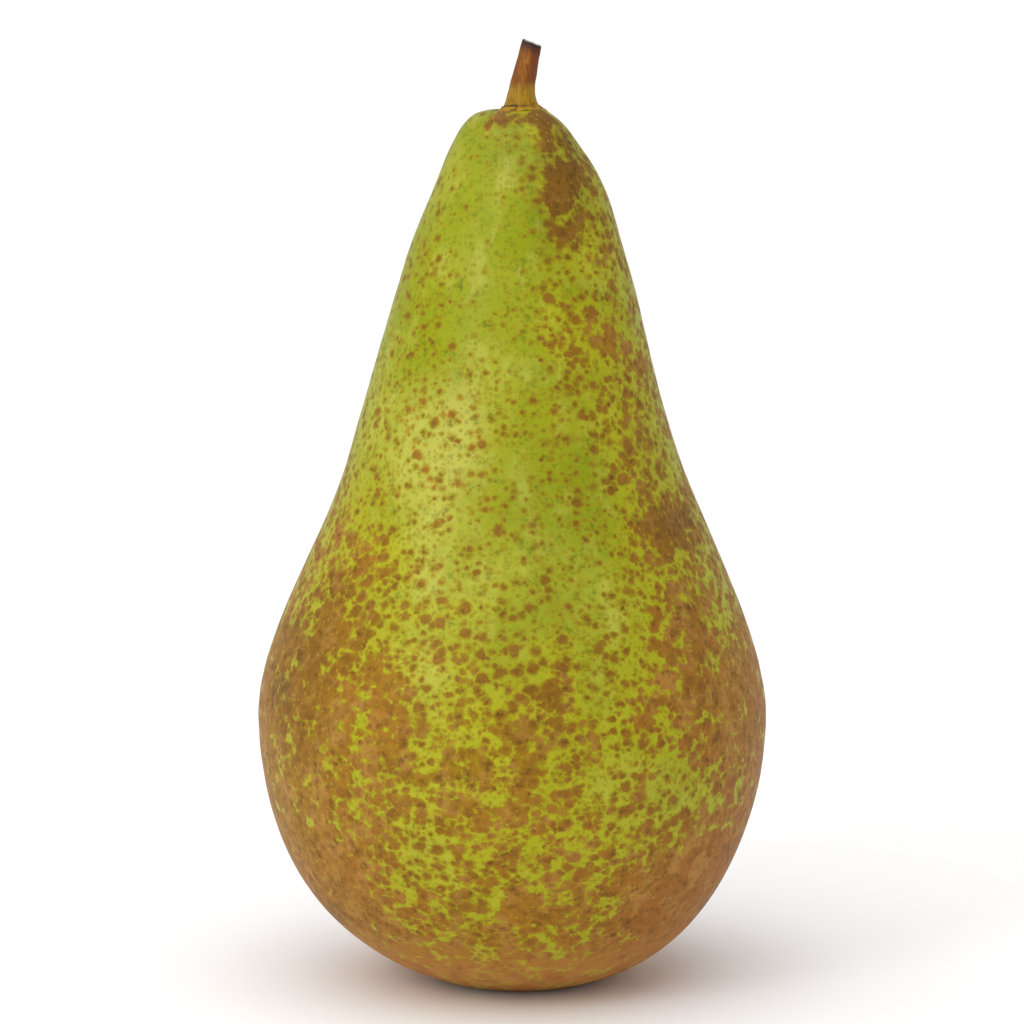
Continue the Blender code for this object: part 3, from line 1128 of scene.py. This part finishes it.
@dataclass(frozen=True)
class Fruit:
    """The fruit's sizes, which follow its solid, and the making of its fine skin."""

    height: float = 106.3
    basin_radius: float = 6.0
    basin_lip: float = 7.1
    basin_depth: float = 4.0
    calyx_seat: float = 2.1
    collar: Station = Station(3.0, 106.17, 4.45, 0.5, 2.6)
    lip: Station = Station(2.1, 106.85, 0.5, 0.0, 0.35)
    shoulder: Station = Station(8.15, 101.1, 0.585, 3.0, 9.8)
    neck: Station = Station(20.1, 63.9, 0.316, 13.8, 8.2)
    belly: Station = Station(31.0, 32.7, 0.0, 8.8, 10.5)
    foot: Station = Station(8.8, 0.0, -3.92, 18.4, 0.0)
    steps: tuple = (8, 34, 70, 58, 62)
    sides: int = 320
    wander: tuple = (
        (106.3, 0.85, 0.4),
        (97.0, 0.62, 5.2),
        (86.3, 0.47, 10.6),
        (56.9, 0.31, 10.7),
        (0.0, 0.90, 8.0),
    )
    lean_back: float = 0.7
    lobes: tuple = ((2, 0.012, math.radians(45)), (3, 0.010, math.radians(30)))
    throat: tuple = ((0.0, -1.2), (1.2, -1.2), (1.7, -0.9), (1.85, 0.0))
    foot_knots: tuple = (0.33, 0.67)
    basin_leave: float = 1.6
    basin_arrive: float = 2.4
    basin_steps: int = 24
    roof_knots: tuple = ((1.0, 0.1), (0.0, 0.1))
    skin_foot: Step = Step(1.0, 8.0)
    skin_top: Step = Step(106.7, 102.3)
    swellings: Lumps = Lumps(0.07, 3.0, 0.16)
    dimples: Lumps = Lumps(0.45, 11.0, 0.035)
    folds: int = 10
    fold: float = 0.26
    fold_waver: Lumps = Lumps(0.2, 5.0, 1.5)
    fold_outer: Step = Step(13.8, 5.0)
    fold_inner: Step = Step(1.8, 3.4)
    fold_top: Step = Step(20.0, 10.0)
    fold_foot: float = 0.02
    at_stalk: Step = Step(104.8, 105.6)
    lip_spread: Step = Step(3.8, 2.4)
    lip_right: float = 0.15
    lip_left: float = 0.34
    lip_front: float = 0.22
    lip_lumps: Lumps = Lumps(0.9, 15.0, 0.12)
    collar_edge: Step = Step(2.95, 2.70)
    crease_outer: Step = Step(3.25, 3.00)
    crease_inner: Step = Step(2.60, 2.85)
    crease_right: Step = Step(3.2, 1.4)
    # Painted light: the underside below these heights, outside the hollow, is painted paler against the floor's
    # contact shade; it is also paler of itself.
    underside_light_height: Step = Step(11.0, 1.5)
    underside_light_ring: Step = Step(8.0, 14.0)

    def outline(self) -> list[Vector]:
        """The half outline from the throat round the stalk, down the skin and up into the calyx's hollow.

        Returns:
            Points from the upper pole to the lower, in millimetres.
        """
        points = [Vector((radius, 0, self.height + above)) for radius, above in self.throat] + [self.lip.knot()]
        stations = (self.lip, self.collar, self.shoulder, self.neck, self.belly, self.foot)
        for upper, lower, steps in zip(stations, stations[1:], self.steps):
            leaving = upper.knot() - upper.upwards() * upper.reach_down
            arriving = lower.knot() + lower.upwards() * lower.reach_up
            points += interpolate_bezier(upper.knot(), leaving, arriving, lower.knot(), steps + 1)[1:]
        lip = Vector((self.basin_lip, 0, 0))
        points += [self.foot.knot().lerp(lip, share) for share in self.foot_knots]
        roof = Vector((self.calyx_seat, 0, self.basin_depth))
        leaving, arriving = lip - Vector((self.basin_leave, 0, 0)), roof + Vector((self.basin_arrive, 0, 0))
        points += interpolate_bezier(lip, leaving, arriving, roof, self.basin_steps)
        return points + [Vector((radius, 0, self.basin_depth + above)) for radius, above in self.roof_knots]

    def wander_at(self, heights: np.ndarray) -> np.ndarray:
        """How far the fruit's middle lies to the side at each height."""
        return sum(shift * np.exp(-(((heights - at) / reach) ** 2)) for at, shift, reach in self.wander)

    def grown(self, points: np.ndarray) -> np.ndarray:
        """Moves the turned shape's points to where the grown fruit has them.

        Args:
            points: Points of the turned shape, in millimetres.

        Returns:
            The moved points. Every point keeps its height.
        """
        x, y, z = points.T
        reach = np.hypot(x, y)
        moves_with = np.where((reach <= self.basin_radius) & (z < self.belly.height), 0.0, np.minimum(z, self.height))
        share = np.clip(moves_with / self.height, 0, 1)
        angle = np.arctan2(y, x)
        lobes = sum(rise * np.cos(count * (angle - turn)) for count, rise, turn in self.lobes)
        swell = 1 + np.sin(math.pi * share) * lobes
        lean = self.lean_back * np.sin(0.5 * math.pi * share) ** 2
        return np.stack([x * swell + self.wander_at(moves_with), y * swell + lean, z], axis=1)

    def round_stalk(self, points: np.ndarray) -> tuple[np.ndarray, np.ndarray]:
        """How far each point is from the middle of the stalk's foot, and in which direction."""
        middle = self.wander_at(np.array([self.height]))[0]
        dx, dy = points[:, 0] - middle, points[:, 1] - self.lean_back
        return np.hypot(dx, dy), np.arctan2(dy, dx)

    def collar_share(self, points: np.ndarray) -> np.ndarray:
        """How far the skin looks like the stalk that grows out of it, from 0 to 1."""
        return climb(self.round_stalk(points)[0], self.collar_edge) * climb(points[:, 2], self.at_stalk)

    def joint(self, points: np.ndarray) -> np.ndarray:
        """How strongly the crease round the stalk tells at each point, from 0 to 1."""
        away = self.round_stalk(points)[0]
        ring = climb(away, self.crease_outer) * climb(away, self.crease_inner)
        return ring * climb(points[:, 2], self.at_stalk) * climb(points[:, 0], self.crease_right)

    def uneven(self, points: np.ndarray) -> np.ndarray:
        """Gives the skin its slight swellings and dimples, its sloping lip, and the hollow its folds.

        Args:
            points: Points of the grown fruit, in millimetres.

        Returns:
            The moved points, none below the foot.
        """
        x, y, z = points.T
        reach = np.maximum(np.hypot(x, y), NOWHERE)
        push = climb(z, self.skin_foot) * climb(z, self.skin_top)
        push = push * (noise_at(points, self.swellings) + noise_at(points, self.dimples))
        moved = points.copy()
        moved[:, 0] += push * x / reach
        moved[:, 1] += push * y / reach
        away, bearing = self.round_stalk(points)
        to_right, to_front = np.cos(bearing), -np.sin(bearing)
        lip = np.where(to_right > 0, self.lip_right, self.lip_left) * to_right
        lip -= self.lip_front * np.maximum(to_front, 0)
        lip = (lip + noise_at(points, self.lip_lumps)) * climb(away, self.lip_spread)
        moved[:, 2] += lip * climb(z, self.at_stalk)
        fold_room = climb(reach, self.fold_outer) * climb(reach, self.fold_inner) * climb(z, self.fold_top)
        waver = self.folds * np.arctan2(y, x) + noise_at(points, self.fold_waver)
        folds = self.fold * np.cos(waver) * fold_room
        inside = (reach < self.basin_lip) & (z < self.belly.height) & (z > self.fold_foot)
        moved[:, 2] += np.where(inside, folds, 0.0)
        moved[:, 2] = np.where(z < self.belly.height, np.maximum(moved[:, 2], 0.0), moved[:, 2])
        return moved

    def build(self) -> bpy.types.Object:
        """Makes the skin, stores its share of russet on it and dresses it.

        Returns:
            The finished piece.
        """
        mesh = turned(self.outline(), self.sides, "pear_skin")
        points = self.grown(read_points(mesh))
        russet, skin = RussetMap(), RussetSkin()
        cover = russet.at(points)
        out_from_middle = np.hypot(points[:, 0], points[:, 1])
        write_points(mesh, self.uneven(points) * MM)
        values = {
            "cover": cover,
            "level": skin.field.level(cover),
            "bruise": russet.bruises(points),
            "ruddy": russet.ruddiness(points),
            # Painted shade, darker down the middle away from the key light.
            "painted_shade": russet.painted_shade_at(points),
            # Yellowing, partly a painted highlight.
            "yellow_and_highlight": russet.yellow_and_highlight_at(points),
            # Painted light on the underside, which is also paler of itself.
            "foot": climb(points[:, 2], self.underside_light_height) * climb(out_from_middle, self.underside_light_ring),
            "joint": self.joint(points),
            "collar": self.collar_share(points),
        }
        for name, numbers in values.items():
            write_values(mesh, name, numbers)
        piece = shown("pear_skin", mesh, [skin.material()])
        seated(piece, "fruit")
        return piece


@dataclass(frozen=True)
class Stalk:
    """The stalk's sizes, which follow its solid, and the making of its fine bark and cut end."""

    foot_height: float = 106.3
    path: tuple = (
        (1.00, -1.6, 1.50),
        (1.00, 0.0, 2.05),
        (1.05, 0.6, 1.92),
        (1.14, 1.6, 1.66),
        (1.27, 2.8, 1.53),
        (1.55, 4.3, 1.43),
        (2.14, 6.8, 1.22),
        (2.38, 7.76, 1.14),
    )
    lean_back: float = 0.7
    lean_back_more: float = 0.5
    cut_slope: float = 0.36
    cut_tilt: float = 0.08
    cut_dip: float = 0.05
    cut_rings: tuple = (0, 0.2, 0.4, 0.6, 0.75)
    cut_corner: tuple = (90, 67, 45, 22, 0)
    cut_reach: float = 2.2
    cut_rest: float = 0.1
    cut_depth: float = 1.2
    cut_facing: float = 0.75
    ragged: Lumps = Lumps(1.6, 12.0, 0.10)
    ridge: float = 0.045
    ridge_scale: tuple = (1.6, 1.6, 0.16)
    ridges: Lumps = Lumps(1.0, 4.0)
    fine_ridges: Lumps = Lumps(2.3, 8.0, 0.5)
    knobs: Lumps = Lumps(0.9, 6.0, 0.03)
    sides: int = 72
    rings: int = 96
    edge: float = 0.20
    edge_room: float = 0.26

    def along(self, heights: np.ndarray, column: int) -> np.ndarray:
        """The path's place or radius at each height above the fruit.

        Args:
            heights: Heights above the fruit, in millimetres.
            column: 0 for the place sideways, 2 for the radius.

        Returns:
            The values, smoothly joined from station to station.
        """
        knots = np.array(self.path)
        at, values = knots[:, 1], knots[:, column]
        slopes = np.gradient(values, at)
        index = np.clip(np.searchsorted(at, heights) - 1, 0, len(at) - 2)
        span = at[index + 1] - at[index]
        t = np.clip((heights - at[index]) / span, 0, 1)
        start, end = values[index], values[index + 1]
        leave, arrive = slopes[index] * span, slopes[index + 1] * span
        return (
            (2 * t**3 - 3 * t**2 + 1) * start + (t**3 - 2 * t**2 + t) * leave
            + (3 * t**2 - 2 * t**3) * end + (t**3 - t**2) * arrive
        )

    def outline(self) -> list[Vector]:
        """The half outline of the straight stalk, from the middle of its cut end down to its root."""
        low, high = self.path[0][1], self.path[-1][1]
        rim = self.path[-1][2]
        cut = [Vector((rim * share, 0, high - self.cut_dip * (1 - share) ** 2)) for share in self.cut_rings]
        corner = [Vector((math.cos(math.radians(a)), 0, math.sin(math.radians(a)))) for a in self.cut_corner]
        middle = Vector((rim - self.edge, 0, high - self.edge))
        rounded = [middle + self.edge * direction for direction in corner]
        heights = np.linspace(high, low, self.rings)
        side = [Vector((float(r), 0, float(h))) for r, h in zip(self.along(heights, 2), heights)]
        side = [point for point in side if point.z < high - self.edge_room]
        return cut + rounded + side + [Vector((0, 0, low))]

    def build(self) -> bpy.types.Object:
        """Makes the stalk, bends it along its path, slants its cut and dresses it.

        Returns:
            The finished piece.
        """
        mesh = turned(self.outline(), self.sides, "pear_stalk")
        points = read_points(mesh)
        x, y, z = points.T
        high = self.path[-1][1]
        around = points * self.ridge_scale
        ridges = noise_at(around, self.ridges) + noise_at(around, self.fine_ridges)
        fat = 1 + self.ridge * ridges + noise_at(points, self.knobs)
        slant = noise_at(points, self.ragged) - self.cut_slope * x + self.cut_tilt * y
        slant *= climb(z, Step(high - self.cut_reach, high - self.cut_rest))
        bent_x = x * fat + self.along(z, 0)
        back = self.lean_back + self.lean_back_more * (np.maximum(z, 0) / high) ** 2
        moved = np.stack([bent_x, y * fat + back, z + slant + self.foot_height], axis=1)
        write_points(mesh, moved * MM)
        write_values(mesh, "along", np.clip(z / high, 0, 1))
        write_values(mesh, "outwards", np.hypot(x, y) / self.path[-1][2])
        middles = np.array([list(face.center) for face in mesh.polygons]) / MM
        normals = np.array([list(face.normal) for face in mesh.polygons])
        near_cut = middles[:, 2] > self.foot_height + high - self.cut_depth
        on_cut = near_cut & (normals[:, 2] > self.cut_facing)
        piece = shown("pear_stalk", mesh, [StalkBark().material(), CutWood().material()])
        mesh.polygons.foreach_set("material_index", on_cut.astype(np.int32))
        seated(piece, "stem")
        return piece


@dataclass(frozen=True)
class Calyx:
    """The dried flower under the fruit: its cup, five curled sepals and the stamens left inside them."""

    basin_depth: float = 4.0
    shift: float = 0.90
    sepals: int = 5
    sepal_length: float = 3.7
    sepal_root: float = 0.9
    sepal_hang: float = 0.45
    sepal_grid: tuple = (18, 8)
    sepal_taper: float = 0.8
    sepal_root_share: float = 0.75
    sepal_swell: float = 0.6
    sepal_wave: float = 0.10
    sepal_waves_along: float = 4.0
    sepal_waves_across: float = 1.5
    sepal_cupping: float = 0.35
    sepal_strays: tuple = (-0.1, 0.1)
    sepal_lengths: tuple = (0.88, 1.08)
    sepal_curls: tuple = (0.8, 1.15)
    sepal_twists: tuple = (-0.25, 0.25)
    half_width: float = 1.25
    tip_half_width: float = 0.06
    thickness: float = 0.22
    drop: float = 0.75
    curl: float = 1.5
    stamens: int = 14
    stamen_radius: float = 0.09
    stamen_root: float = 0.7
    stamen_end: float = 1.3
    stamen_sides: int = 8
    head_size: float = 2.1
    head_stretch: tuple = (1, 0.7, 1.4, 1)
    stamen_length: float = 2.3
    stamen_hang: float = 0.3
    stamen_out: tuple = (0.75, 1.2)
    stamen_splay: tuple = (2, 28)
    stamen_strays: tuple = (-0.25, 0.25)
    stamen_lengths: tuple = (0.75, 1.05)
    cup_profile: tuple = (
        (0.0, 0.0),
        (1.5, 0.0),
        (1.75, 0.5),
        (1.8, 1.2),
        (1.6, 1.75),
        (1.35, 1.8),
        (1.1, 1.4),
        (0.7, 1.15),
        (0.35, 1.2),
        (0.25, 1.9),
        (0.1, 2.3),
        (0.0, 2.35),
    )
    cup_rise: float = 0.5
    cup_sides: int = 48
    cup_lobe: float = 0.05
    cup_lumps: Lumps = Lumps(1.2, 2.0, 0.03)
    seed: int = 5

    def sepal(self, shape: bmesh.types.BMesh, length: float, curl: float, turn: float, twist: float) -> None:
        """Adds one sepal to the calyx.

        Args:
            shape: The bmesh that it goes in.
            length: From root to tip.
            curl: How far its tip bends down.
            turn: Its direction round the calyx, in radians.
            twist: How far one edge of it lifts above the other.
        """
        long, wide = self.sepal_grid
        made = bmesh.ops.create_grid(shape, x_segments=long, y_segments=wide, size=1)["verts"]
        for vertex in made:
            along, across = (vertex.co.x + 1) / 2, vertex.co.y
            fullness = (1 - along) ** self.sepal_taper * (self.sepal_root_share + self.sepal_swell * along)
            half = self.tip_half_width + self.half_width * fullness
            waves_at = (along * self.sepal_waves_along + turn, across * self.sepal_waves_across, turn)
            wave = self.sepal_wave * noise.noise(Vector(waves_at))
            cupped = self.sepal_cupping * half * across**2 + twist * across * along - wave
            height = self.basin_depth - self.sepal_hang - self.drop * along - curl * along**2 - cupped
            vertex.co = (self.sepal_root + length * along, half * across, height)
        faces = list({face for vertex in made for face in vertex.link_faces})
        bmesh.ops.solidify(shape, geom=faces, thickness=self.thickness)
        whole = self.island([vertex for face in faces for vertex in face.verts])
        bmesh.ops.rotate(shape, verts=whole, cent=(0, 0, 0), matrix=Matrix.Rotation(turn, 3, "Z"))

    def island(self, start: list) -> list:
        """Every vertex joined to these by edges."""
        found, waiting = set(start), list(start)
        while waiting:
            vertex = waiting.pop()
            for edge in vertex.link_edges:
                other = edge.other_vert(vertex)
                if other not in found:
                    found.add(other)
                    waiting.append(other)
        return list(found)

    def stamen(self, shape: bmesh.types.BMesh, turn: float, out: float, splay: float, length: float) -> None:
        """Adds one withered stamen, a bent thread with its dried head.

        Args:
            shape: The bmesh that it goes in.
            turn: Its direction round the calyx, in radians.
            out: How far from the middle it stands.
            splay: How far it leans outwards, in degrees.
            length: From root to head.
        """
        place = (
            Matrix.Rotation(turn, 4, "Z")
            @ Matrix.Translation((out, 0, self.basin_depth - self.stamen_hang))
            @ Matrix.Rotation(math.radians(-splay), 4, "Y")
        )
        bmesh.ops.create_cone(
            shape, cap_ends=True, segments=self.stamen_sides, radius1=self.stamen_root * self.stamen_radius,
            radius2=self.stamen_end * self.stamen_radius, depth=length,
            matrix=place @ Matrix.Translation((0, 0, -length / 2)),
        )
        bmesh.ops.create_icosphere(
            shape, subdivisions=2, radius=self.head_size * self.stamen_radius,
            matrix=place @ Matrix.Translation((0, 0, -length)) @ Matrix.Diagonal(self.head_stretch),
        )

    def cup(self) -> bpy.types.Mesh:
        """The cup that the sepals and stamens grow from, hollow below."""
        roof = self.basin_depth + self.cup_rise
        outline = [Vector((radius, 0, roof - below)) for radius, below in self.cup_profile]
        mesh = turned(outline, self.cup_sides, "calyx_cup")
        points = read_points(mesh)
        angle = np.arctan2(points[:, 1], points[:, 0])
        lobes = self.cup_lobe * np.cos(self.sepals * angle)
        points[:, :2] *= (1 + lobes + noise_at(points, self.cup_lumps))[:, None]
        write_points(mesh, (points + (self.shift, 0, 0)) * MM)
        return mesh

    def settle(self, shape: bmesh.types.BMesh, name: str) -> bpy.types.Mesh:
        """Moves the calyx's parts under the fruit's middle and turns them into a mesh in metres."""
        bmesh.ops.recalc_face_normals(shape, faces=shape.faces)
        bmesh.ops.translate(shape, verts=shape.verts, vec=(self.shift, 0, 0))
        bmesh.ops.scale(shape, verts=shape.verts, vec=(MM, MM, MM))
        return meshed(shape, name)

    def build(self) -> list[bpy.types.Object]:
        """Makes and dresses the cup, the sepals and the stamens.

        Returns:
            The finished pieces.
        """
        draw = random.Random(self.seed)
        leaves = bmesh.new()
        for index in range(self.sepals):
            turn = math.tau * (index + draw.uniform(*self.sepal_strays)) / self.sepals
            length = self.sepal_length * draw.uniform(*self.sepal_lengths)
            curl = self.curl * draw.uniform(*self.sepal_curls)
            self.sepal(leaves, length, curl, turn, draw.uniform(*self.sepal_twists))
        threads = bmesh.new()
        for index in range(self.stamens):
            turn = math.tau * (index + draw.uniform(*self.stamen_strays)) / self.stamens
            out, splay = draw.uniform(*self.stamen_out), draw.uniform(*self.stamen_splay)
            self.stamen(threads, turn, out, splay, self.stamen_length * draw.uniform(*self.stamen_lengths))
        finish = DriedLeaf()
        pieces = [
            shown("calyx_cup", self.cup(), [finish.material("dried_cup")]),
            shown("calyx_sepals", self.settle(leaves, "calyx_sepals"), [finish.material("dried_sepal")]),
            shown("calyx_stamens", self.settle(threads, "calyx_stamens"), [finish.material("dried_stamen")]),
        ]
        for piece in pieces:
            seated(piece, "calyx")
        return pieces


@dataclass(frozen=True)
class Studio:
    """The pale floor, the soft light and the camera at the photograph's angle. Distances are millimetres."""

    middle_height: float = 57.44
    middle_across: float = -0.035
    distance: float = 517.7
    rise: float = 8.0
    lens: float = 150.0
    sensor: float = 36.0
    clip: tuple = (10.0, 100_000.0)
    floor_size: float = 12000.0
    floor_tone: float = 0.97
    floor_roughness: float = 0.9
    sky: float = 0.62
    sun_power: float = 1.45
    sun_spread: float = 75.0
    sun_turn: float = -35.0
    sun_rise: float = 75.0
    key_power: float = 1.0
    key_width: float = 160.0
    key_height: float = 420.0
    key_distance: float = 620.0
    key_turn: float = -42.0
    key_rise: float = 20.0

    def aimed(self, thing: bpy.types.Object, turn: float, rise: float, distance: float) -> None:
        """Stands a camera or a lamp round the pear's middle and turns it to face it.

        Args:
            thing: The camera or lamp.
            turn: Degrees to the right of the photographed side.
            rise: Degrees above the horizon.
            distance: From the pear's middle.
        """
        middle = Vector((self.middle_across, 0, self.middle_height)) * MM
        a, e = math.radians(turn), math.radians(rise)
        back = Vector((math.sin(a) * math.cos(e), -math.cos(a) * math.cos(e), math.sin(e)))
        thing.location = middle + back * distance * MM
        thing.rotation_euler = (-back).to_track_quat("-Z", "Y").to_euler()
        bpy.context.scene.collection.objects.link(thing)

    def camera(self) -> None:
        """Makes the scene's camera."""
        data = bpy.data.cameras.new("camera")
        data.lens = self.lens
        data.sensor_width = self.sensor
        data.clip_start, data.clip_end = (limit * MM for limit in self.clip)
        camera = bpy.data.objects.new("camera", data)
        self.aimed(camera, 0.0, self.rise, self.distance)
        bpy.context.scene.camera = camera

    def key_light(self) -> None:
        """Makes the soft box at the upper left that draws the highlight down the neck."""
        data = bpy.data.lights.new("soft_box", "AREA")
        data.shape = "RECTANGLE"
        data.size = self.key_width * MM
        data.size_y = self.key_height * MM
        data.energy = self.key_power
        self.aimed(bpy.data.objects.new("soft_box", data), self.key_turn, self.key_rise, self.key_distance)

    def sky_light(self) -> None:
        """Makes the even white light from all round and the broad one from above."""
        world = bpy.data.worlds.new("white_tent")
        world.use_nodes = True
        background = world.node_tree.nodes["Background"]
        background.inputs["Color"].default_value = (1, 1, 1, 1)
        background.inputs["Strength"].default_value = self.sky
        bpy.context.scene.world = world
        data = bpy.data.lights.new("ceiling", "SUN")
        data.energy = self.sun_power
        data.angle = math.radians(self.sun_spread)
        self.aimed(bpy.data.objects.new("ceiling", data), self.sun_turn, self.sun_rise, self.key_distance)

    def floor(self) -> None:
        """Lays the pale floor that the pear stands on."""
        shape = bmesh.new()
        bmesh.ops.create_grid(shape, x_segments=1, y_segments=1, size=0.5 * self.floor_size * MM)
        mesh = meshed(shape, "floor")
        wires = Wiring("pale_floor")
        wires.dress((self.floor_tone, self.floor_tone, self.floor_tone, 1), self.floor_roughness)
        shown("floor", mesh, [wires.material])

    def build(self) -> None:
        """Sets up floor, light, camera and a plain view of colour."""
        self.floor()
        self.sky_light()
        self.key_light()
        self.camera()
        bpy.context.scene.view_settings.view_transform = "Standard"
        LOG.info("studio: camera %.0f mm off, %.0f degrees up", self.distance, self.rise)


def main() -> None:
    """Builds the pear's pieces in order, then the studio round them."""
    logging.basicConfig(level=logging.INFO, format="%(name)s: %(message)s")
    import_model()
    Fruit().build()
    Stalk().build()
    Calyx().build()
    Studio().build()


if __name__ == "__main__":
    main()
